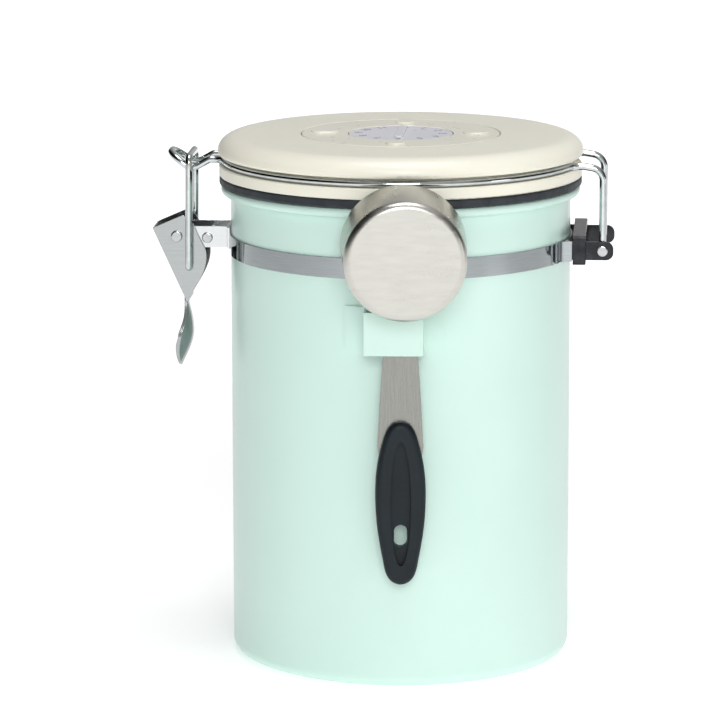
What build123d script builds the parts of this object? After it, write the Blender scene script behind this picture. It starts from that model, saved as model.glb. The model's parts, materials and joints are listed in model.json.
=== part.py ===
from build123d import *
from math import asin, cos, degrees, radians, sin, sqrt
import os

# Clamp-lid coffee canister: painted can, wire-bail lid with a date dial, and a scoop.
# Millimetres, +Z up, origin at the centre of the underside.
# The hinge is on +X, the latch on -X, and the scoop on the front, -Y.

# ---- driving dimensions -------------------------------------------------------------

# can
body_r = 59.5
wall = 0.6
corner_r = 4.5
bead_out_r = 62.8
bead_h = 3.2
rim_z = 166.8
mouth_r = body_r - wall

# band round the can, and the brackets that it holds
band_z = 142.5
band_h = 7.0
band_t = 0.6
band_outer = body_r + band_t
sheet = 0.8
saddle_depth = 20.0

# hinge
pivot_x = 71.0
pivot_z = 146.2
arm_h = 6.4
arm_end = 3.8
hinge_arm_y = 18.7
hinge_tip_round = 2.6
leg_y = 16.2

# wires
wire_r = 1.25
running_gap = 0.05
end_cap_r = 1.9
end_cap_t = 0.7

# latch
latch_pin_x = -78.1
latch_pin_z = 148.2
loop_pivot_x = -73.7
loop_pivot_z = 137.3
crossbar_x = -73.3
crossbar_z = 176.6
loop_y = 10.4
latch_arm_y = 7.1
latch_arm_h = 7.4
latch_saddle_w = 20.0
latch_tip_round = 3.4
lever_y = 8.0
lever_pin_r = 1.2
lever_pin_head_r = 2.0
rivet_r = 1.3
rivet_head_r = 1.9
head_t = 0.8
rivet_x = -67.4
rivet_z = 147.7

# lid
lid_z = 170.0
lid_r = 63.5
dome_r = 63.9
dome_z = 178.6
dome_top_r = 57.0
dome_top_z = 184.0
groove_r = 60.4
groove_low = 174.05
groove_high = 177.3
cover_inner_r = 59.0
cover_t = 1.5
wire_z = 175.4
ring_r = 61.7
nose_y = 7.2
plug_r = 53.0
plug_z = 164.2
gasket_t = 3.05
screw_circle = 46.0
screw_r = 1.4
screw_head_r = 2.7
screw_head_t = 1.4
screw_boss_r = 3.0
screw_len = 9.0

# dial
pocket_r = 34.9
pocket_z = 181.3
dial_z = 184.3
dial_ring_r = 34.6
dial_gap_r = 18.5
dial_relief = 0.7
nub_circle = 26.6
nub_len = 9.6
nub_w = 6.9
bar_len = 27.0
bar_w = 3.2

# valve
valve_y = 22.0
valve_r = 8.5
valve_bore_r = 6.3
valve_disc_r = 5.6
valve_disc_t = 0.8

# scoop and its clip, which sit a little towards the hinge from the front
clip_azimuth = 1.5
clip_z = 118.5
clip_h = 14.7
clip_half = 10.0
clip_flange = 17.0
clip_out = 71.1
scoop_azimuth = 3.4
scoop_turn = 5.4
scoop_radial = 65.4
cup_tilt = 5.0
cup_rim_r = 21.25
cup_floor_r = 20.5
cup_depth = 23.0
cup_z = 155.25
cup_shift = 0.9
grip_low = 38.8
grip_high = 95.2
grip_half = 8.55


def outward_plane(azimuth, turn, radial):
    """Upright plane facing out of the can, azimuth degrees from -Y towards +X."""
    place = radians(azimuth)
    face = radians(turn)
    return Plane(
        origin=(radial * sin(place), -radial * cos(place), 0),
        x_dir=(cos(face), sin(face), 0),
        z_dir=(sin(face), -cos(face), 0),
    )


def ring_bend(bend_r, run_y, x_sign, y_sign):
    """Where a run at y = run_y bends out of the lid's wire ring: run, middle, ring."""
    centre_y = run_y + bend_r
    centre_x = sqrt((ring_r + bend_r) ** 2 - centre_y**2)
    centre = Vector(x_sign * centre_x, y_sign * centre_y, wire_z)
    to_axis = Vector(-centre.X, -centre.Y, 0).normalized()
    to_run = Vector(0, -y_sign, 0)
    middle = centre + (to_axis + to_run).normalized() * bend_r
    return centre + to_run * bend_r, middle, centre + to_axis * bend_r


def cross_rivet(x, z, shaft_r, head_r, head_low):
    """Rivet along Y through both arms, with a domed head at each end."""
    head_high = head_low + head_t
    with BuildPart() as rivet:
        with BuildSketch(Plane.XZ.offset(-head_high)):
            with Locations((x, z)):
                Circle(shaft_r)
        extrude(amount=2 * head_high)
        for start in (-head_high, head_low):
            with BuildSketch(Plane.XZ.offset(start)):
                with Locations((x, z)):
                    Circle(head_r)
            extrude(amount=head_t)
        rims = rivet.edges().filter_by(GeomType.CIRCLE).group_by(Axis.Y)
        fillet([rims[0][0], rims[-1][0]], radius=head_t * 0.6)
    return rivet


# ---- can ----------------------------------------------------------------------------

with BuildPart() as canister_body:
    with BuildSketch(Plane.XZ):
        with BuildLine():
            underside = Line((0, 0), (body_r - corner_r, 0))
            corner = CenterArc((body_r - corner_r, corner_r), corner_r, -90, 90)
            FilletPolyline(
                corner @ 1,
                (body_r, rim_z - bead_h),
                (bead_out_r, rim_z - bead_h),
                (bead_out_r, rim_z),
                (mouth_r, rim_z),
                (mouth_r, corner_r),
                radius=[0.3, 1.5, 1.55, 1.2],
            )
            inner_corner = CenterArc((body_r - corner_r, corner_r), corner_r - wall, 0, -90)
            floor = Line(inner_corner @ 1, (0, wall))
            Line(floor @ 1, underside @ 0)
        make_face()
    revolve(axis=Axis.Z)

# ---- band: its ends bend outwards and lie on the hinge arms ---------------------------

band_mid_r = body_r + band_t / 2
band_bend_r = 1.6
tab_y = hinge_arm_y + 0.05 + band_t / 2
band_bend_y = tab_y + band_bend_r
band_end = degrees(asin(band_bend_y / (band_mid_r + band_bend_r)))
band_bend_x = (band_mid_r + band_bend_r) * cos(radians(band_end))
tab_end_x = 60.5
rib_angles = [22.8, 26.2]
rib_depth = 0.8
rib_w = 1.0

with BuildPart() as clamp_band:
    with BuildSketch(Plane.XY.offset(band_z)):
        with BuildLine():
            CenterArc((0, 0), band_mid_r, band_end, 360 - 2 * band_end)
            for side in (-1, 1):
                bend_centre = (band_bend_x, side * band_bend_y)
                bend = CenterArc(bend_centre, band_bend_r, 180 + side * band_end, side * (90 - band_end))
                Line(bend @ 1, (tab_end_x, side * tab_y))
        trace(line_width=band_t)
        for rib in rib_angles:
            for angle in (rib, -rib):
                spot = radians(angle)
                rib_place = (band_outer * cos(spot), band_outer * sin(spot), 0)
                with Locations(Location(rib_place, (0, 0, angle))):
                    Rectangle(rib_depth, rib_w)
        Circle(body_r, mode=Mode.SUBTRACT)
    extrude(amount=band_h)

# ---- hinge bracket: two arms on a saddle against the wall -----------------------------

arm_start = 50.0
arm_tip = pivot_x + arm_end

with BuildPart() as hinge_bracket:
    with BuildSketch(Plane.XY.offset(pivot_z - arm_h / 2)):
        Circle(body_r + sheet)
        with Locations((body_r, 0)):
            Rectangle(saddle_depth, 2 * hinge_arm_y, mode=Mode.INTERSECT)
        for sign in (-1, 1):
            with Locations(((arm_start + arm_tip) / 2, sign * (hinge_arm_y - sheet / 2))):
                Rectangle(arm_tip - arm_start, sheet)
        Circle(body_r, mode=Mode.SUBTRACT)
    extrude(amount=arm_h)
    tips = hinge_bracket.edges().filter_by(Axis.Y).group_by(Axis.X)[-1]
    fillet(tips, radius=hinge_tip_round)
    with BuildSketch(Plane.XZ):
        with Locations((pivot_x, pivot_z)):
            Circle(wire_r + running_gap)
    extrude(amount=2 * hinge_arm_y, both=True, mode=Mode.SUBTRACT)

# ---- keeper: square sleeve pushed over both arms and the band's ends ------------------

keeper_x = 63.0
keeper_len = 4.5
keeper_low = 141.4
keeper_high = 151.6
keeper_half = 20.1

with BuildPart() as band_keeper:
    with BuildSketch(Plane.YZ.offset(keeper_x - keeper_len / 2)):
        with Locations((0, (keeper_low + keeper_high) / 2)):
            RectangleRounded(2 * keeper_half, keeper_high - keeper_low, 0.8)
        with Locations((0, pivot_z)):
            Rectangle(2 * hinge_arm_y, arm_h, mode=Mode.SUBTRACT)
    extrude(amount=keeper_len)
    outer_rims = band_keeper.faces().sort_by(Axis.X)[-1].outer_wire().edges()
    fillet(outer_rims, radius=0.4)

# ---- latch bracket: two arms on a saddle over the band --------------------------------

latch_arm_tip = latch_pin_x - 3.7
saddle_r = band_outer + 0.02

with BuildPart() as latch_bracket:
    with BuildSketch(Plane.XY.offset((latch_pin_z + rivet_z) / 2 - latch_arm_h / 2)):
        Circle(saddle_r + sheet)
        with Locations((-body_r, 0)):
            Rectangle(saddle_depth, latch_saddle_w, mode=Mode.INTERSECT)
        for sign in (-1, 1):
            with Locations(((latch_arm_tip - arm_start) / 2, sign * (latch_arm_y - sheet / 2))):
                Rectangle(-arm_start - latch_arm_tip, sheet)
        Circle(saddle_r, mode=Mode.SUBTRACT)
    extrude(amount=latch_arm_h)
    latch_tips = latch_bracket.edges().filter_by(Axis.Y).group_by(Axis.X)[0]
    fillet(latch_tips, radius=latch_tip_round)
    with BuildSketch(Plane.XZ):
        with Locations((latch_pin_x, latch_pin_z)):
            Circle(lever_pin_r)
        with Locations((rivet_x, rivet_z)):
            Circle(rivet_r)
    extrude(amount=2 * latch_arm_y, both=True, mode=Mode.SUBTRACT)

lever_pin = cross_rivet(latch_pin_x, latch_pin_z, lever_pin_r, lever_pin_head_r, lever_y + running_gap)
bracket_rivet = cross_rivet(rivet_x, rivet_z, rivet_r, rivet_head_r, latch_arm_y)

# ---- lever: folded channel whose two plates carry the loop, with a thumb tab ----------

lever_corner = (-86.6, 151.0)
lever_tip = (-74.7, 124.9)
web_start = Vector(*lever_corner)
web_end = Vector(*lever_tip)
web_across = (web_end - web_start).normalized().rotate(Axis.Z, 90) * sheet

tab_dish_r = 9.6
tab_dish_angle = 56
tab_side = [(-75.2, 127.0), (-74.8, 122.4), (-73.6, 116.6), (-73.9, 110.4), (-75.7, 105.6), (-78.1, 100.6)]

with BuildPart() as thumb_tab:
    with BuildLine(Plane.XZ) as tab_path:
        Spline(*tab_side)
    tab_start = Plane(origin=tab_path.line @ 0, x_dir=(0, 1, 0), z_dir=tab_path.line % 0)
    with BuildSketch(tab_start):
        with BuildLine():
            CenterArc((0, -tab_dish_r), tab_dish_r, 90 - tab_dish_angle, 2 * tab_dish_angle)
        trace(line_width=sheet)
    sweep(path=tab_path.line)
    with BuildSketch(Plane.YZ.offset(-90)):
        with BuildLine():
            right = Spline((3.2, 128.0), (3.6, 123.0), (7.6, 113.5), (6.2, 105.5), (0, 100.9))
            left = Spline((-3.2, 128.0), (-3.6, 123.0), (-7.6, 113.5), (-6.2, 105.5), (0, 100.9))
            Line(left @ 0, right @ 0)
        make_face()
    extrude(amount=30, mode=Mode.INTERSECT)

with BuildPart() as latch_lever:
    for start in (-lever_y, lever_y - sheet):
        with BuildSketch(Plane.XZ.offset(start)):
            with BuildLine():
                top = Line(lever_corner, (-76.0, 155.6))
                curve = Spline(
                    top @ 1,
                    (-72.6, 152.9),
                    (-70.4, 148.2),
                    (-68.2, 143.6),
                    (-67.9, 139.6),
                    (-69.4, 134.4),
                    lever_tip,
                )
                Line(curve @ 1, lever_corner)
            make_face()
            with Locations((latch_pin_x, latch_pin_z)):
                Circle(lever_pin_r + running_gap, mode=Mode.SUBTRACT)
            with Locations((loop_pivot_x, loop_pivot_z)):
                Circle(wire_r + running_gap, mode=Mode.SUBTRACT)
        extrude(amount=sheet)
    with BuildSketch(Plane.XZ.offset(-lever_y)):
        with BuildLine():
            Polyline(web_start, web_end, web_end + web_across, web_start + web_across, close=True)
        make_face()
    extrude(amount=2 * lever_y)
    add(thumb_tab.part)

# ---- loop: wire frame from the lever's plates over the bail's nose --------------------

loop_end_y = lever_y - sheet - 0.1

with BuildPart() as latch_loop:
    with BuildLine() as loop_path:
        FilletPolyline(
            (loop_pivot_x, -loop_end_y, loop_pivot_z),
            (loop_pivot_x, -loop_y, loop_pivot_z),
            (crossbar_x, -loop_y, crossbar_z),
            (crossbar_x, loop_y, crossbar_z),
            (loop_pivot_x, loop_y, loop_pivot_z),
            (loop_pivot_x, loop_end_y, loop_pivot_z),
            radius=[1.7, 2.6, 2.6, 1.7],
        )
    with BuildSketch(Plane(origin=loop_path.line @ 0, z_dir=loop_path.line % 0)):
        Circle(wire_r)
    sweep(path=loop_path.line)

with BuildPart() as loop_end_caps:
    for start in (-loop_end_y, loop_end_y - end_cap_t):
        with BuildSketch(Plane.XZ.offset(start)):
            with Locations((loop_pivot_x, loop_pivot_z)):
                Circle(end_cap_r)
        extrude(amount=end_cap_t)

# ---- bail: one wire round the lid's groove, from hinge leg to nose and back ------------

leg_end_y = hinge_arm_y + running_gap
hinge_bend_r = 5.0
nose_bend_r = 4.0
nose_start_x = -sqrt((ring_r + nose_bend_r) ** 2 - (nose_y + nose_bend_r) ** 2)
leg_top_z = wire_z - 1.1
nose_side = [(nose_start_x, wire_z), (-66.2, wire_z), (-70.6, 173.0), (-73.7, 172.4), (-80.3, 177.3)]

with BuildPart() as bail_wire:
    with BuildLine() as bail_path:
        for sign in (-1, 1):
            run_point, run_middle, ring_point = ring_bend(hinge_bend_r, leg_y, 1, sign)
            FilletPolyline(
                (pivot_x, sign * leg_end_y, pivot_z),
                (pivot_x, sign * leg_y, pivot_z),
                (pivot_x, sign * leg_y, leg_top_z),
                run_point + Vector(1, 0, 0),
                run_point,
                radius=[1.6, 4.5, 3.0],
            )
            ThreePointArc(run_point, run_middle, ring_point)
            nose_point, nose_middle, ring_end = ring_bend(nose_bend_r, nose_y, -1, sign)
            ThreePointArc(ring_point, (0, sign * ring_r, wire_z), ring_end)
            ThreePointArc(ring_end, nose_middle, nose_point)
        FilletPolyline(
            *[(x, -nose_y, z) for x, z in nose_side],
            *[(x, nose_y, z) for x, z in reversed(nose_side)],
            radius=[2.0, 4.0, 4.0, 5.9, 5.9, 4.0, 4.0, 2.0],
        )
    wire_start = Vector(pivot_x, -leg_end_y, pivot_z)
    with BuildSketch(Plane(origin=wire_start, z_dir=(0, 1, 0))):
        Circle(wire_r)
    sweep(path=bail_path.wires()[0])

with BuildPart() as bail_end_caps:
    for start in (leg_end_y, -leg_end_y - end_cap_t):
        with BuildSketch(Plane.XZ.offset(start)):
            with Locations((pivot_x, pivot_z)):
                Circle(end_cap_r)
        extrude(amount=end_cap_t)
    cap_rims = bail_end_caps.edges().filter_by(GeomType.CIRCLE).group_by(Axis.Y)
    fillet([cap_rims[0][0], cap_rims[-1][0]], radius=0.45)

# ---- lid cover: moulded shell with the wire groove and the dial's pocket ---------------

hub_stem_r = 3.0
shell_z = dome_top_z - cover_t

with BuildPart() as lid_cover:
    with BuildSketch(Plane.XZ):
        with BuildLine():
            skirt = FilletPolyline(
                (cover_inner_r, lid_z),
                (lid_r, lid_z),
                (lid_r, groove_low),
                (groove_r, groove_low),
                (groove_r, groove_high),
                (lid_r - 0.5, groove_high),
                radius=[0.6, 0.5, 0.6, 0.6],
            )
            ThreePointArc(skirt @ 1, (dome_r - 0.15, groove_high + 0.55), (dome_r, dome_z))
            EllipticalCenterArc(
                (dome_top_r, dome_z), dome_r - dome_top_r, dome_top_z - dome_z, start_angle=0, arc_size=90
            )
            FilletPolyline(
                (dome_top_r, dome_top_z),
                (pocket_r, dial_z),
                (pocket_r, pocket_z),
                (hub_stem_r, pocket_z),
                (hub_stem_r, pocket_z - cover_t),
                (pocket_r + cover_t, pocket_z - cover_t),
                (pocket_r + cover_t, dial_z - cover_t),
                (dome_top_r - cover_t, shell_z),
                radius=[0.4, 0.3, 0.3, 0.3, 0.3, 0.3],
            )
            EllipticalCenterArc(
                (dome_top_r - cover_t, dome_z),
                cover_inner_r - dome_top_r + cover_t,
                shell_z - dome_z,
                start_angle=0,
                arc_size=90,
            )
            Line((cover_inner_r, dome_z), (cover_inner_r, lid_z))
        make_face()
    revolve(axis=Axis.Z)
    with BuildSketch(Plane.XY.offset(lid_z + cover_t)):
        with PolarLocations(screw_circle, 4, start_angle=45):
            Circle(screw_boss_r)
            Circle(screw_r, mode=Mode.SUBTRACT)
    extrude(amount=shell_z + 0.2 - lid_z - cover_t)

# ---- lid base: plate screwed up into the cover, with the wall that holds the gasket ----

with BuildPart() as lid_base:
    with BuildSketch(Plane.XY.offset(lid_z)):
        Circle(cover_inner_r - 0.1)
        with PolarLocations(screw_circle, 4, start_angle=45):
            Circle(screw_r, mode=Mode.SUBTRACT)
        with Locations((0, valve_y)):
            Circle(valve_r, mode=Mode.SUBTRACT)
    extrude(amount=cover_t)
    with BuildSketch(Plane.XY.offset(plug_z)):
        Circle(plug_r)
        Circle(plug_r - cover_t, mode=Mode.SUBTRACT)
    extrude(amount=lid_z - plug_z)
    fillet(lid_base.edges().group_by(Axis.Z)[0], radius=0.5)

cross_len = 3.2
cross_w = 0.7

with BuildPart() as lid_screws:
    with BuildSketch(Plane.XY.offset(lid_z - screw_head_t)):
        with PolarLocations(screw_circle, 4, start_angle=45):
            Circle(screw_head_r)
    extrude(amount=screw_head_t)
    fillet(lid_screws.edges().group_by(Axis.Z)[0], radius=0.6)
    with BuildSketch(Plane.XY.offset(lid_z)):
        with PolarLocations(screw_circle, 4, start_angle=45):
            Circle(screw_r)
    extrude(amount=screw_len)
    with BuildSketch(Plane.XY.offset(lid_z - screw_head_t)):
        with PolarLocations(screw_circle, 4, start_angle=45):
            Rectangle(cross_len, cross_w)
            Rectangle(cross_w, cross_len)
    extrude(amount=screw_head_t / 2, mode=Mode.SUBTRACT)

with BuildPart() as lid_gasket:
    with BuildSketch(Plane.XY.offset(lid_z - gasket_t)):
        Circle(lid_r - 0.1)
        Circle(plug_r + 0.1, mode=Mode.SUBTRACT)
    extrude(amount=gasket_t)
    gasket_rims = lid_gasket.edges().sort_by(SortBy.LENGTH)[-2:]
    fillet(gasket_rims, radius=0.7)

# ---- date dial: hub, ring of days and disc of months -----------------------------------

hub_foot_z = pocket_z - cover_t - 1.0
hub_flange_r = 17.8
hub_flange_z = 182.4
hub_flange_t = 0.6
hub_pin_h = 0.7
disc_low = hub_flange_z + hub_flange_t + 0.15

with BuildPart() as dial_hub:
    with BuildSketch(Plane.XY.offset(hub_foot_z)):
        Circle(hub_stem_r)
    extrude(amount=hub_flange_z + hub_flange_t + hub_pin_h - hub_foot_z)
    with BuildSketch(Plane.XY.offset(hub_flange_z)):
        Circle(hub_flange_r)
    extrude(amount=hub_flange_t)

ring_low = pocket_z + 0.1
lip_r = 16.0
lip_t = 0.85

with BuildPart() as day_ring:
    with BuildSketch(Plane.XY.offset(ring_low)):
        Circle(dial_ring_r)
        Circle(lip_r, mode=Mode.SUBTRACT)
    extrude(amount=lip_t)
    with BuildSketch(Plane.XY.offset(ring_low + lip_t)):
        Circle(dial_ring_r)
        Circle(dial_gap_r, mode=Mode.SUBTRACT)
    extrude(amount=dial_z - ring_low - lip_t)
    ring_rims = day_ring.edges().filter_by(GeomType.CIRCLE).group_by(Axis.Z)[-1]
    fillet(ring_rims, radius=0.4)
    with BuildSketch(Plane.XY.offset(dial_z - 0.2)):
        with PolarLocations(nub_circle, 4):
            SlotOverall(nub_len, nub_w)
    extrude(amount=dial_relief + 0.2)
    fillet(day_ring.edges().group_by(Axis.Z)[-1], radius=0.5)

with BuildPart() as month_disc:
    with BuildSketch(Plane.XY.offset(disc_low)):
        Circle(dial_gap_r - 0.35)
    extrude(amount=dial_z - 0.1 - disc_low)
    fillet(month_disc.edges().group_by(Axis.Z)[-1], radius=0.3)
    with BuildSketch(Plane.XY.offset(disc_low)):
        Circle(hub_stem_r + running_gap)
    extrude(amount=hub_pin_h, mode=Mode.SUBTRACT)
    with BuildSketch(Plane.XY.offset(dial_z - 0.3)):
        SlotOverall(bar_len, bar_w, rotation=90)
    extrude(amount=dial_relief + 0.3)
    fillet(month_disc.edges().group_by(Axis.Z)[-1], radius=0.5)

# ---- gas valve in the lid's base --------------------------------------------------------

valve_low = 166.0
valve_seat = 168.0
valve_top = 173.0
cap_t = 1.2
inlet_circle = 3.2
inlet_r = 0.9
outlet_circle = 3.6
outlet_r = 1.0

with BuildPart() as valve_housing:
    with BuildSketch(Plane.XY.offset(valve_low)):
        with Locations((0, valve_y)):
            Circle(valve_r)
    extrude(amount=valve_top - valve_low)
    with BuildSketch(Plane.XY.offset(valve_seat)):
        with Locations((0, valve_y)):
            Circle(valve_bore_r)
    extrude(amount=valve_top - valve_seat, mode=Mode.SUBTRACT)
    with BuildSketch(Plane.XY.offset(valve_low)):
        with Locations((0, valve_y)):
            with PolarLocations(inlet_circle, 6):
                Circle(inlet_r)
    extrude(amount=valve_seat - valve_low, mode=Mode.SUBTRACT)

with BuildPart() as valve_cap:
    with BuildSketch(Plane.XY.offset(valve_top)):
        with Locations((0, valve_y)):
            Circle(valve_r)
            with PolarLocations(outlet_circle, 4):
                Circle(outlet_r, mode=Mode.SUBTRACT)
    extrude(amount=cap_t)

with BuildPart() as valve_disc:
    with BuildSketch(Plane.XY.offset(valve_seat + 0.02)):
        with Locations((0, valve_y)):
            Circle(valve_disc_r)
    extrude(amount=valve_disc_t)

# ---- scoop clip: painted bridge standing off the wall -----------------------------------

clip_facing = radians(clip_azimuth)
clip_t = 0.8
clip_inner = clip_half - clip_t
clip_reach = 40.0
clip_x = Vector(cos(clip_facing), sin(clip_facing), 0)
clip_plane = Plane(origin=(0, 0, clip_z), x_dir=clip_x, z_dir=(0, 0, 1))

with BuildPart() as scoop_clip:
    with BuildSketch(clip_plane):
        Circle(body_r + clip_t)
        with Locations((0, -body_r)):
            Rectangle(2 * clip_flange, saddle_depth, mode=Mode.INTERSECT)
        with Locations((0, -clip_out)):
            Rectangle(2 * clip_half, clip_reach, align=(Align.CENTER, Align.MIN))
        with Locations((0, -clip_out + clip_t)):
            Rectangle(2 * clip_inner, clip_reach, align=(Align.CENTER, Align.MIN), mode=Mode.SUBTRACT)
        Circle(body_r, mode=Mode.SUBTRACT)
    extrude(amount=clip_h)

# ---- scoop: spun cup, steel strip and moulded grip --------------------------------------

scoop_plane = outward_plane(scoop_azimuth, scoop_turn, scoop_radial)
strip_t = 1.2
strip_half = 5.9
strip_wide_half = 7.8
strip_low_half = 4.6
strip_low = 66.0
strip_gap = 0.25
tilt = radians(cup_tilt)
strip_high = cup_z - cup_rim_r * cos(tilt) - strip_gap
rim_w = cup_rim_r * sin(tilt) - strip_t / 2
cup_centre = scoop_plane.from_local_coords(Vector(cup_shift, cup_z, rim_w))
cup_axis = scoop_plane.z_dir * cos(tilt) - Vector(0, 0, 1) * sin(tilt)
cup_plane = Plane(origin=cup_centre, x_dir=scoop_plane.x_dir, z_dir=cup_axis)
cup_spin = Axis(cup_centre, cup_axis)
cup_t = 0.8
floor_round = 2.6
tab_len = 4.9
tab_spread = radians(17)
weld_gap = 0.03
tab_plane = Plane(
    origin=cup_centre,
    x_dir=cup_plane.y_dir * cos(tab_spread) + cup_plane.x_dir * sin(tab_spread),
    z_dir=cup_plane.x_dir * cos(tab_spread) - cup_plane.y_dir * sin(tab_spread),
)
cup_taper = (cup_rim_r - cup_floor_r) / cup_depth

with BuildPart() as scoop_cup:
    with BuildSketch(cup_plane):
        Circle(cup_rim_r)
    with BuildSketch(cup_plane.offset(cup_depth)):
        Circle(cup_floor_r)
    loft()
    fillet(scoop_cup.faces().sort_by(cup_spin)[-1].edges(), radius=floor_round)
    offset(amount=-cup_t, openings=scoop_cup.faces().sort_by(cup_spin)[0])

with BuildPart() as scoop_strip:
    with BuildSketch(scoop_plane.offset(-strip_t / 2)):
        with BuildLine():
            half = Polyline(
                (0, strip_high),
                (strip_half, strip_high),
                (strip_half, clip_z),
                (7.0, grip_high + 6),
                (strip_wide_half, grip_high - 9),
                (strip_low_half, strip_low),
                (0, strip_low),
            )
            mirror(half, about=Plane.YZ)
        make_face()
    extrude(amount=strip_t)
    with BuildSketch(tab_plane):
        with BuildLine():
            Polyline(
                (-cup_rim_r - strip_t, 0),
                (-cup_rim_r - weld_gap, 0),
                (-cup_rim_r - weld_gap + cup_taper * tab_len, tab_len),
                (-cup_rim_r - strip_t + cup_taper * tab_len, tab_len),
                close=True,
            )
        make_face()
    revolve(axis=cup_spin, revolution_arc=2 * degrees(tab_spread))
    split(bisect_by=scoop_plane.offset(-strip_t / 2), keep=Keep.TOP)

grip_back = -1.3
grip_front = 4.2
channel_low = 45.6
channel_high = 88.6
channel_half = 3.5
channel_depth = 1.8
hole_z = 55.7
hole_h = 7.9
hole_w = 4.5

grip_right = [
    (3.0, grip_high - 1.1),
    (5.9, grip_high - 6.6),
    (7.8, 80.5),
    (grip_half, 68.5),
    (7.7, 56.8),
    (5.9, 46.4),
    (3.5, grip_low + 1.5),
]
grip_left = [(-x, z) for x, z in reversed(grip_right)]
grip_axis = Axis(scoop_plane.origin, scoop_plane.z_dir)

with BuildPart() as scoop_grip:
    with BuildSketch(scoop_plane.offset(grip_back)):
        with BuildLine():
            Spline((0, grip_high), *grip_right, (0, grip_low), *grip_left, periodic=True)
        make_face()
    extrude(amount=grip_front - grip_back)
    fillet(scoop_grip.faces().sort_by(grip_axis)[-1].edges(), radius=2.0)
    fillet(scoop_grip.faces().sort_by(grip_axis)[0].edges(), radius=0.7)
    with BuildSketch(scoop_plane.offset(grip_front)):
        with Locations((0, (channel_low + channel_high) / 2)):
            Ellipse(channel_half, (channel_high - channel_low) / 2)
    extrude(amount=-channel_depth, mode=Mode.SUBTRACT)
    with BuildSketch(scoop_plane.offset(grip_back)):
        with Locations((0, hole_z)):
            SlotOverall(hole_h, hole_w, rotation=90)
    extrude(amount=grip_front - grip_back, mode=Mode.SUBTRACT)
    add(scoop_strip.part, mode=Mode.SUBTRACT)

# ---- written pieces ---------------------------------------------------------------------

pieces = {
    "canister_body": canister_body,
    "clamp_band": clamp_band,
    "hinge_bracket": hinge_bracket,
    "band_keeper": band_keeper,
    "latch_bracket": latch_bracket,
    "lever_pin": lever_pin,
    "bracket_rivet": bracket_rivet,
    "scoop_clip": scoop_clip,
    "lid_cover": lid_cover,
    "lid_base": lid_base,
    "lid_screws": lid_screws,
    "lid_gasket": lid_gasket,
    "bail_wire": bail_wire,
    "bail_end_caps": bail_end_caps,
    "dial_hub": dial_hub,
    "valve_housing": valve_housing,
    "valve_cap": valve_cap,
    "valve_disc": valve_disc,
    "day_ring": day_ring,
    "month_disc": month_disc,
    "latch_lever": latch_lever,
    "latch_loop": latch_loop,
    "loop_end_caps": loop_end_caps,
    "scoop_cup": scoop_cup,
    "scoop_strip": scoop_strip,
    "scoop_grip": scoop_grip,
}

os.makedirs("parts", exist_ok=True)
for name, piece in pieces.items():
    piece.part.label = name
    export_step(piece.part, f"parts/{name}.step")
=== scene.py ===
import json
from math import acos, atan2, cos, pi, radians, sin, sqrt, tan

import bmesh
import bpy
from mathutils import Matrix, Vector


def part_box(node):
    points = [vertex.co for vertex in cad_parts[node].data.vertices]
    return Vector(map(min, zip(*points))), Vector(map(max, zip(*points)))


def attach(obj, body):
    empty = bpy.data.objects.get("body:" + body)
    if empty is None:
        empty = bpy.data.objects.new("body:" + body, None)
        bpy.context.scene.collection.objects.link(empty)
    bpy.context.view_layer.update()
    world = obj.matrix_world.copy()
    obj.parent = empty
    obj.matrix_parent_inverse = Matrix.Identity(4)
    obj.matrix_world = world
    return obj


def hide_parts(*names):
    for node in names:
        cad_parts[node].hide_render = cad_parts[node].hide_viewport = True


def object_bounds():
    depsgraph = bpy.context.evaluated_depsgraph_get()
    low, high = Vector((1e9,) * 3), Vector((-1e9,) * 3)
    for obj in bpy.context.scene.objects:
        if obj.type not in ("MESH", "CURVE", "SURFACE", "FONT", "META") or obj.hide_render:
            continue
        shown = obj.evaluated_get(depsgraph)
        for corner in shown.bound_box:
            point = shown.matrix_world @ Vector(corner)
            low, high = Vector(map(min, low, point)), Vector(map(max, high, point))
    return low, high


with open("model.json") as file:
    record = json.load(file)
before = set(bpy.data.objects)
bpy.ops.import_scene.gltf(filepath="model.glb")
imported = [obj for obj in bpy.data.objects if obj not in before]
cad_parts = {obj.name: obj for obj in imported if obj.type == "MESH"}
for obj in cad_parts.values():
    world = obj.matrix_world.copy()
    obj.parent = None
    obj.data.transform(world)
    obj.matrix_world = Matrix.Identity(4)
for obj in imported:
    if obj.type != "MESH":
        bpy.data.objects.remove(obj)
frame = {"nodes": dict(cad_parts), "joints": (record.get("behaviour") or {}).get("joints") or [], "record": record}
cad_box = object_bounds()
nodes = frame["nodes"]
scene = bpy.context.scene
scene.view_settings.view_transform = "Standard"

MM = 0.001
wire_r = 1.25 * MM
groove_rise = 5.4 * MM
numeral_h = 4.2 * MM
numeral_t = 0.03 * MM
numeral_inset = 3.6 * MM
disc_relief = 0.8 * MM
floor_r = 12
floor_gap = 0.0002


# ---- material helpers -----------------------------------------------------------------


def principled(name, colour, metallic=0.0, roughness=0.5):
    """New material with these even values, and its shader."""
    mat = bpy.data.materials.new(name)
    mat.use_nodes = True
    shader = mat.node_tree.nodes["Principled BSDF"]
    shader.inputs["Base Color"].default_value = (*colour, 1)
    shader.inputs["Metallic"].default_value = metallic
    shader.inputs["Roughness"].default_value = roughness
    return mat, shader


def add(mat, kind, **values):
    """Adds a node and sets its inputs or properties by name."""
    node = mat.node_tree.nodes.new(kind)
    for key, value in values.items():
        name = key.replace("_", " ")
        if name in node.inputs:
            node.inputs[name].default_value = value
        else:
            setattr(node, key, value)
    return node


def link(mat, out_socket, in_socket):
    mat.node_tree.links.new(out_socket, in_socket)


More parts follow.
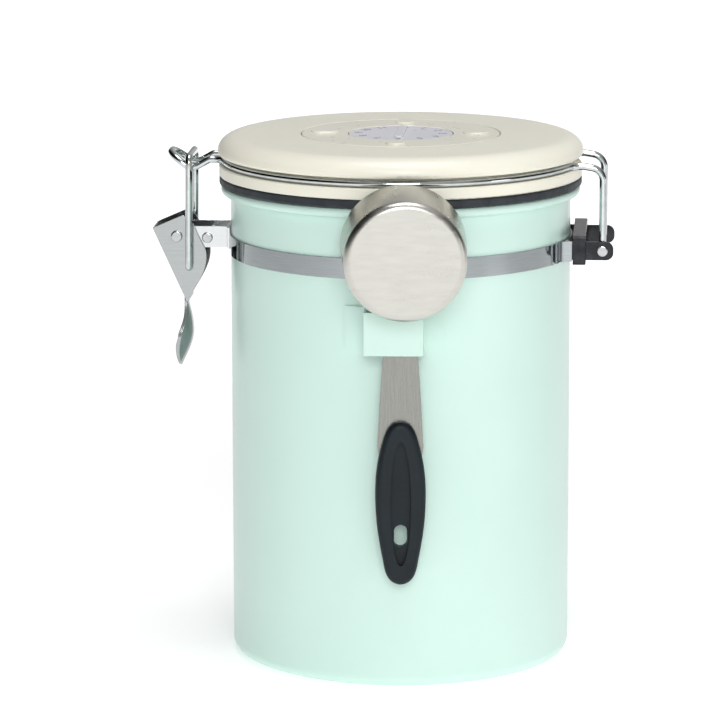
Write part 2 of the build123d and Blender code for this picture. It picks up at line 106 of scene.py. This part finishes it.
def grain(mat, scale, stretch=(1, 1, 1), detail=3.0, turn=(0, 0, 0)):
    """Noise in the object's own coordinates, stretched along some axes."""
    place = add(mat, "ShaderNodeTexCoord")
    mapping = add(mat, "ShaderNodeMapping", Scale=stretch, Rotation=turn)
    noise = add(mat, "ShaderNodeTexNoise", Scale=scale, Detail=detail)
    link(mat, place.outputs["Object"], mapping.inputs["Vector"])
    link(mat, mapping.outputs["Vector"], noise.inputs["Vector"])
    return noise.outputs["Fac"]


def spread(mat, value, low, high, clamp=True):
    """Maps a 0.3 to 0.7 noise value to low..high."""
    ranged = add(mat, "ShaderNodeMapRange", clamp=clamp)
    ranged.inputs["From Min"].default_value = 0.3
    ranged.inputs["From Max"].default_value = 0.7
    ranged.inputs["To Min"].default_value = low
    ranged.inputs["To Max"].default_value = high
    link(mat, value, ranged.inputs["Value"])
    return ranged.outputs["Result"]


def tint(mat, shader, value, dark, light):
    """Base colour that drifts between two colours."""
    mix = add(mat, "ShaderNodeMix", data_type="RGBA")
    colours = [s for s in mix.inputs if s.type == "RGBA"]
    colours[0].default_value = (*dark, 1)
    colours[1].default_value = (*light, 1)
    link(mat, value, mix.inputs["Factor"])
    result = [s for s in mix.outputs if s.type == "RGBA"][0]
    link(mat, result, shader.inputs["Base Color"])


def relief(mat, shader, value, depth, edge=0.0):
    """Bump of that depth in metres. With an edge, corners also look rounded by that many metres."""
    bump = add(mat, "ShaderNodeBump", Strength=1.0, Distance=depth)
    link(mat, value, bump.inputs["Height"])
    if edge:
        bevel = add(mat, "ShaderNodeBevel", samples=4, Radius=edge)
        link(mat, bevel.outputs["Normal"], bump.inputs["Normal"])
    link(mat, bump.outputs["Normal"], shader.inputs["Normal"])


# ---- materials ------------------------------------------------------------------------


def mint_paint():
    """Satin powder coat: faint orange peel and a slow drift of tone."""
    mat, shader = principled("mint_paint", (0.69, 0.915, 0.835), roughness=0.34)
    shader.inputs["Coat Weight"].default_value = 0.25
    shader.inputs["Coat Roughness"].default_value = 0.18
    tint(mat, shader, spread(mat, grain(mat, 28), 0, 1), (0.66, 0.885, 0.80), (0.685, 0.905, 0.825))
    link(mat, spread(mat, grain(mat, 900), 0.30, 0.40), shader.inputs["Roughness"])
    relief(mat, shader, grain(mat, 650, detail=2), 0.00003)
    return mat


def cream_plastic():
    """Moulded lid: satin cream with the faint waviness of a moulding."""
    mat, shader = principled("cream_plastic", (0.93, 0.91, 0.80), roughness=0.32)
    shader.inputs["Subsurface Weight"].default_value = 0.05
    shader.inputs["Subsurface Scale"].default_value = 0.002
    tint(mat, shader, spread(mat, grain(mat, 22), 0, 1), (0.93, 0.905, 0.775), (0.95, 0.925, 0.80))
    link(mat, spread(mat, grain(mat, 90), 0.30, 0.36), shader.inputs["Roughness"])
    relief(mat, shader, grain(mat, 40, detail=0), 0.00001, 0.0003)
    return mat


def gasket_rubber():
    """Dark seal: dull skin with a fine grain and a little dust."""
    mat, shader = principled("gasket_rubber", (0.022, 0.028, 0.034), roughness=0.55)
    shader.inputs["Specular IOR Level"].default_value = 0.4
    tint(mat, shader, spread(mat, grain(mat, 160), 0, 1), (0.018, 0.023, 0.028), (0.034, 0.042, 0.05))
    link(mat, spread(mat, grain(mat, 500), 0.45, 0.65), shader.inputs["Roughness"])
    relief(mat, shader, grain(mat, 2200), 0.00002)
    return mat


def wire_chrome():
    """Bright plated wire with faint draw marks."""
    mat, shader = principled("wire_chrome", (0.60, 0.63, 0.63), metallic=1.0, roughness=0.07)
    tint(mat, shader, spread(mat, grain(mat, 300), 0, 1), (0.54, 0.57, 0.57), (0.64, 0.67, 0.67))
    link(mat, spread(mat, grain(mat, 900, (1, 1, 0.1)), 0.05, 0.13), shader.inputs["Roughness"])
    relief(mat, shader, grain(mat, 400, detail=2), 0.000006)
    return mat


def brushed(name, dark, light, stretch, low=0.22, high=0.36, turn=(0, 0, 0), edge=0.00015):
    """Brushed sheet: long fine lines in tone, gloss and relief."""
    mat, shader = principled(name, light, metallic=1.0, roughness=low)
    lines = grain(mat, 120, stretch, detail=5, turn=turn)
    tint(mat, shader, spread(mat, lines, 0, 1), dark, light)
    link(mat, spread(mat, lines, low, high), shader.inputs["Roughness"])
    relief(mat, shader, lines, 0.000004, edge)
    return mat


def hinge_black():
    """Dark polished bracket: black gloss, thinner and greyer in patches."""
    mat, shader = principled("hinge_black", (0.012, 0.013, 0.015), metallic=0.6, roughness=0.14)
    tint(mat, shader, spread(mat, grain(mat, 240), 0, 1), (0.010, 0.011, 0.013), (0.035, 0.037, 0.042))
    link(mat, spread(mat, grain(mat, 600), 0.10, 0.24), shader.inputs["Roughness"])
    relief(mat, shader, grain(mat, 500), 0.00002, 0.0002)
    return mat


def rivet_steel():
    """Peened heads: bright, with small hammer facets."""
    mat, shader = principled("rivet_steel", (0.50, 0.51, 0.52), metallic=1.0, roughness=0.16)
    link(mat, spread(mat, grain(mat, 900), 0.10, 0.28), shader.inputs["Roughness"])
    relief(mat, shader, grain(mat, 700, detail=1), 0.00005, 0.0003)
    return mat


def grip_plastic():
    """Dark slate handle: matte, with a fine moulded grain."""
    mat, shader = principled("grip_plastic", (0.016, 0.022, 0.028), roughness=0.5)
    shader.inputs["Specular IOR Level"].default_value = 0.32
    tint(mat, shader, spread(mat, grain(mat, 60), 0, 1), (0.004, 0.009, 0.013), (0.006, 0.013, 0.018))
    link(mat, spread(mat, grain(mat, 800), 0.46, 0.56), shader.inputs["Roughness"])
    relief(mat, shader, grain(mat, 2600), 0.00001)
    return mat


def moulded(name, dark, light, roughness=0.3, peel=0.000003):
    """Plain moulded plastic: slight drift of tone and a fine skin."""
    mat, shader = principled(name, light, roughness=roughness)
    tint(mat, shader, spread(mat, grain(mat, 40), 0, 1), dark, light)
    link(mat, spread(mat, grain(mat, 200), roughness - 0.03, roughness + 0.04), shader.inputs["Roughness"])
    relief(mat, shader, grain(mat, 300, detail=2), peel)
    return mat


finishes = {
    "mint_paint": mint_paint(),
    "cream_plastic": cream_plastic(),
    "gasket_rubber": gasket_rubber(),
    "wire_chrome": wire_chrome(),
    "band_steel": brushed("band_steel", (0.34, 0.37, 0.38), (0.40, 0.43, 0.44), (1, 1, 30), 0.06, 0.12),
    "hinge_black": hinge_black(),
    "latch_steel": brushed("latch_steel", (0.62, 0.64, 0.64), (0.68, 0.70, 0.70), (1, 30, 30), 0.14, 0.2),
    # lever_steel and strip_steel are darker copies of the latch and scoop steel: painted shade for the darker
    # reflections these parts show
    "lever_steel": brushed("lever_steel", (0.38, 0.40, 0.40), (0.44, 0.46, 0.46), (1, 30, 30), 0.14, 0.2),
    "strip_steel": brushed("strip_steel", (0.27, 0.27, 0.25), (0.32, 0.32, 0.30), (20, 20, 1), 0.24, 0.32),
    "rivet_steel": rivet_steel(),
    "scoop_steel": brushed("scoop_steel", (0.57, 0.56, 0.52), (0.63, 0.62, 0.57), (1, 1, 5), 0.26, 0.36,
                           turn=(0, radians(35), 0), edge=0),
    "grip_plastic": grip_plastic(),
    "dial_cream": moulded("dial_cream", (0.86, 0.84, 0.72), (0.90, 0.88, 0.77)),
    "dial_white": moulded("dial_white", (0.74, 0.74, 0.80), (0.80, 0.80, 0.86)),
    "inner_plastic": moulded("inner_plastic", (0.78, 0.78, 0.75), (0.84, 0.84, 0.81), 0.5, 0.00001),
    "valve_rubber": moulded("valve_rubber", (0.62, 0.62, 0.60), (0.70, 0.70, 0.68), 0.6, 0.00001),
    "screw_steel": brushed("screw_steel", (0.45, 0.45, 0.46), (0.60, 0.60, 0.61), (8, 8, 1)),
    "print_grey": moulded("print_grey", (0.16, 0.17, 0.24), (0.20, 0.21, 0.29), 0.5),
}


def smooth(mesh, angle=35):
    """Smooth shading that keeps edges sharper than this many degrees."""
    mesh.shade_smooth()
    mesh.set_sharp_from_angle(angle=radians(angle))


def finish_with(piece, slot):
    piece.data.materials.clear()
    piece.data.materials.append(finishes[slot])


# Painted shade: the lever and the scoop's strip get darker copies of their steel, standing in for the darker
# reflections they show.
shaded_steel = {"latch_lever": "lever_steel", "scoop_strip": "strip_steel"}
for part in frame["record"]["subparts"]:
    finish_with(nodes[part["node"]], shaded_steel.get(part["node"], part["material_slot"]))
    smooth(nodes[part["node"]].data)


# ---- wires ------------------------------------------------------------------------------


def straight(a, b):
    """Cubic piece for a straight run."""
    return a, a.lerp(b, 1 / 3), a.lerp(b, 2 / 3), b


def corner(before, at, after, radius):
    """Cubic piece that rounds a corner."""
    back = (before - at).normalized()
    on = (after - at).normalized()
    turn = pi - acos(max(-1, min(1, back.dot(on))))
    reach = radius * tan(turn / 2)
    handle = 4 / 3 * tan(turn / 4) * radius
    start = at + back * reach
    end = at + on * reach
    return start, start - back * handle, end - on * handle, end


def rounded(points, radii):
    """Cubic pieces along a polyline whose inner corners are rounded."""
    run = []
    place = points[0]
    for i, radius in enumerate(radii, start=1):
        bend = corner(points[i - 1], points[i], points[i + 1], radius)
        run += [straight(place, bend[0]), bend]
        place = bend[3]
    return run + [straight(place, points[-1])]


def level_arc(centre, radius, start, end, steps):
    """Cubic pieces of an arc in a level plane, from one angle to another."""
    step = (end - start) / steps
    handle = 4 / 3 * tan(step / 4) * radius
    run = []
    for i in range(steps):
        a, b = start + i * step, start + (i + 1) * step
        out_a, out_b = Vector((cos(a), sin(a), 0)), Vector((cos(b), sin(b), 0))
        on_a, on_b = Vector((-sin(a), cos(a), 0)), Vector((-sin(b), cos(b), 0))
        first, last = centre + out_a * radius, centre + out_b * radius
        run.append((first, first + on_a * handle, last - on_b * handle, last))
    return run


def mirrored(run):
    """The same pieces on the other side of the XZ plane, travelled backwards."""
    flip = Vector((1, -1, 1))
    return [tuple(p * flip for p in reversed(piece)) for piece in reversed(run)]


def wire(name, run, slot, body, node):
    """Round wire along cubic pieces."""
    curve = bpy.data.curves.new(name, "CURVE")
    curve.dimensions = "3D"
    curve.bevel_depth = wire_r
    curve.bevel_resolution = 7
    curve.resolution_u = 14
    curve.use_fill_caps = True
    spline = curve.splines.new("BEZIER")
    spline.bezier_points.add(len(run))
    for i, point in enumerate(spline.bezier_points):
        point.co = run[i][0] if i < len(run) else run[-1][3]
        before = run[i - 1][2] if i else point.co * 2 - run[0][1]
        after = run[i][1] if i < len(run) else point.co * 2 - run[-1][2]
        point.handle_left_type = point.handle_right_type = "FREE"
        point.handle_left = before
        point.handle_right = after
    piece = bpy.data.objects.new(name, curve)
    scene.collection.objects.link(piece)
    curve.materials.append(finishes[slot])
    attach(piece, body)
    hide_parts(node)
    return piece


joints = {joint["name"]: joint for joint in frame["joints"]}


def latch_loop_wire():
    """Rectangular loop from inside one lever plate, over the nose, to the other."""
    pivot = Vector(joints["loop_swing"]["pos_m"])
    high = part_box("latch_loop")[1]
    cap_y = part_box("loop_end_caps")[1].y
    side, top, bar_x = high.y - wire_r, high.z - wire_r, high.x - wire_r
    points = [
        Vector((pivot.x, -cap_y, pivot.z)),
        Vector((pivot.x, -side, pivot.z)),
        Vector((bar_x, -side, top)),
        Vector((bar_x, side, top)),
        Vector((pivot.x, side, pivot.z)),
        Vector((pivot.x, cap_y, pivot.z)),
    ]
    radii = [r * MM for r in (1.7, 2.6, 2.6, 1.7)]
    wire("loop_wire", rounded(points, radii), "wire_chrome", "latch_loop", "latch_loop")


def high_cap_y():
    """Where the bail's wire ends, inside its peened caps."""
    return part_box("bail_end_caps")[1].y - 0.4 * MM


def bail_wire():
    """One wire from the hinge, round the lid's groove, out to the nose and back."""
    pivot = Vector(joints["lid_hinge"]["pos_m"])
    low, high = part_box("bail_wire")
    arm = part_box("hinge_bracket")[1].y
    ring_r = high.y - wire_r
    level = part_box("lid_gasket")[1].z + groove_rise
    leg_y = arm - 2 * wire_r
    nose_y = 7.2 * MM
    hinge_bend, nose_bend = 5 * MM, 4 * MM
    tip_x = low.x + wire_r

    hinge_y = -leg_y - hinge_bend
    hinge_centre = Vector((sqrt((ring_r + hinge_bend) ** 2 - hinge_y**2), hinge_y, level))
    nose_side = -nose_y - nose_bend
    nose_centre = Vector((-sqrt((ring_r + nose_bend) ** 2 - nose_side**2), nose_side, level))
    ring_start = atan2(hinge_centre.y, hinge_centre.x)
    ring_end = atan2(nose_centre.y, nose_centre.x)
    leg = [
        Vector((pivot.x, -high_cap_y(), pivot.z)),
        Vector((pivot.x, -leg_y, pivot.z)),
        Vector((pivot.x, -leg_y, level - 1.1 * MM)),
        Vector((hinge_centre.x + 1 * MM, -leg_y, level)),
        Vector((hinge_centre.x, -leg_y, level)),
    ]
    nose = [
        Vector((nose_centre.x, -nose_y, level)),
        Vector((nose_centre.x - 1.6 * MM, -nose_y, level)),
        Vector((tip_x + 9.7 * MM, -nose_y, level - 2.4 * MM)),
        Vector((tip_x + 6.6 * MM, -nose_y, level - 3.0 * MM)),
        Vector((tip_x, -nose_y, level + 1.9 * MM)),
    ]
    far_nose = [p * Vector((1, -1, 1)) for p in reversed(nose)]
    half = rounded(leg, [1.6 * MM, 4.5 * MM, 3 * MM])
    half += level_arc(hinge_centre, hinge_bend, pi / 2, pi + ring_start, 2)
    half += level_arc(Vector((0, 0, level)), ring_r, ring_start, ring_end, 6)
    half += level_arc(nose_centre, nose_bend, pi + ring_end, pi / 2, 2)
    tip_radii = [r * MM for r in (2, 4, 4, 5.9, 5.9, 4, 4, 2)]
    run = half + rounded(nose + far_nose, tip_radii) + mirrored(half)
    wire("lid_bail_wire", run, "wire_chrome", "lid", "bail_wire")


latch_loop_wire()
bail_wire()


# ---- dial numerals ------------------------------------------------------------------------


def month_numerals():
    """Twelve plain numerals round the middle disc, as thin printed relief."""
    low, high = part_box("month_disc")
    face = high.z - disc_relief
    circle = (high.x - low.x) / 2 - numeral_inset
    made = bmesh.new()
    for month in range(1, 13):
        curve = bpy.data.curves.new("numeral", "FONT")
        curve.body = str(month)
        curve.size = numeral_h
        curve.extrude = numeral_t
        curve.align_x = "CENTER"
        curve.align_y = "CENTER"
        text = bpy.data.objects.new("numeral", curve)
        scene.collection.objects.link(text)
        bpy.context.view_layer.update()
        mesh = bpy.data.meshes.new_from_object(text)
        angle = pi / 2 - month * pi / 6
        place = Matrix.Translation((circle * cos(angle), circle * sin(angle), face))
        mesh.transform(place @ Matrix.Rotation(angle - pi / 2, 4, "Z"))
        made.from_mesh(mesh)
        bpy.data.objects.remove(text)
    mesh = bpy.data.meshes.new("dial_numerals")
    made.to_mesh(mesh)
    piece = bpy.data.objects.new("dial_numerals", mesh)
    scene.collection.objects.link(piece)
    mesh.materials.append(finishes["print_grey"])
    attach(piece, "month_disc")


month_numerals()


# ---- studio -------------------------------------------------------------------------------


def studio_floor():
    """Plain pale floor that glows where it is far off, and is dim at the far sides."""
    mesh = bpy.data.meshes.new("studio_floor")
    built = bmesh.new()
    bmesh.ops.create_circle(built, cap_ends=True, segments=64, radius=floor_r)
    built.to_mesh(mesh)
    piece = bpy.data.objects.new("studio_floor", mesh)
    scene.collection.objects.link(piece)
    piece.location.z = cad_box[0].z - floor_gap
    mat, shader = principled("studio_floor", (0.92, 0.92, 0.92), roughness=0.8)
    shader.inputs["Emission Color"].default_value = (1, 1, 1, 1)
    place = add(mat, "ShaderNodeTexCoord")
    split = add(mat, "ShaderNodeSeparateXYZ")
    side = add(mat, "ShaderNodeMath", operation="ABSOLUTE")
    link(mat, place.outputs["Object"], split.inputs["Vector"])
    link(mat, split.outputs["X"], side.inputs[0])
    near = add(mat, "ShaderNodeMapRange", interpolation_type="SMOOTHSTEP")
    for socket, value in zip(near.inputs[1:5], (0.35, 1.6, 1.0, 0.5)):
        socket.default_value = value
    far = add(mat, "ShaderNodeMapRange", interpolation_type="SMOOTHSTEP")
    for socket, value in zip(far.inputs[1:5], (0.2, 1.0, 0.40, 0.85)):
        socket.default_value = value
    both = add(mat, "ShaderNodeMath", operation="MULTIPLY")
    link(mat, side.outputs["Value"], near.inputs["Value"])
    link(mat, split.outputs["Y"], far.inputs["Value"])
    link(mat, near.outputs["Result"], both.inputs[0])
    link(mat, far.outputs["Result"], both.inputs[1])
    link(mat, both.outputs["Value"], shader.inputs["Emission Strength"])
    mesh.materials.append(mat)


def studio_world():
    """Even light with dim sides, dimmest on the left, so that bright metal has dark edges."""
    world = bpy.data.worlds.new("studio_world")
    scene.world = world
    world.use_nodes = True
    tree = world.node_tree
    background = tree.nodes["Background"]
    place = tree.nodes.new("ShaderNodeTexCoord")
    split = tree.nodes.new("ShaderNodeSeparateXYZ")
    across = tree.nodes.new("ShaderNodeMapRange")
    across.inputs["From Min"].default_value = -1
    level = tree.nodes.new("ShaderNodeValToRGB")
    level.color_ramp.interpolation = "EASE"
    stops = [(0.0, 0.0), (0.17, 0.01), (0.42, 0.32), (0.58, 0.55), (0.80, 0.42), (0.94, 0.05)]
    ramp = level.color_ramp.elements
    while len(ramp) < len(stops):
        ramp.new(1)
    for element, (position, shade) in zip(ramp, stops):
        element.position = position
        element.color = (shade, shade, shade, 1)
    tree.links.new(place.outputs["Generated"], split.inputs["Vector"])
    tree.links.new(split.outputs["X"], across.inputs["Value"])
    tree.links.new(across.outputs["Result"], level.inputs["Fac"])
    tree.links.new(level.outputs["Color"], background.inputs["Color"])


def softbox(name, place, size, power):
    """Square light that faces the object."""
    light = bpy.data.lights.new(name, "AREA")
    light.size = size
    light.energy = power
    lamp = bpy.data.objects.new(name, light)
    scene.collection.objects.link(lamp)
    lamp.location = place
    aim = Vector((0, 0, 0.1)) - lamp.location
    lamp.rotation_mode = "QUATERNION"
    lamp.rotation_quaternion = aim.to_track_quat("-Z", "Y")


def studio_camera():
    """Long lens a little above the lid, the object a little right of the middle."""
    target = Vector((0, 0, 0.1034))
    distance = 1.4826
    rise, swing = radians(11.03), radians(3.5)
    back = Vector((sin(swing) * cos(rise), -cos(swing) * cos(rise), sin(rise)))
    data = bpy.data.cameras.new("studio_camera")
    data.sensor_width = 36
    data.lens = 210
    data.shift_x = -0.0565
    data.clip_start = 0.05
    data.clip_end = 50
    camera = bpy.data.objects.new("studio_camera", data)
    scene.collection.objects.link(camera)
    camera.location = target + back * distance
    camera.rotation_mode = "QUATERNION"
    camera.rotation_quaternion = (-back).to_track_quat("-Z", "Y")
    scene.camera = camera


studio_floor()
studio_world()
softbox("key_light", (0.15, -1.7, 0.75), 0.6, 11)
softbox("top_light", (0.05, -0.2, 1.6), 0.7, 9.5)
softbox("side_light", (0.85, -0.35, 0.16), 0.22, 0.3)
studio_camera()
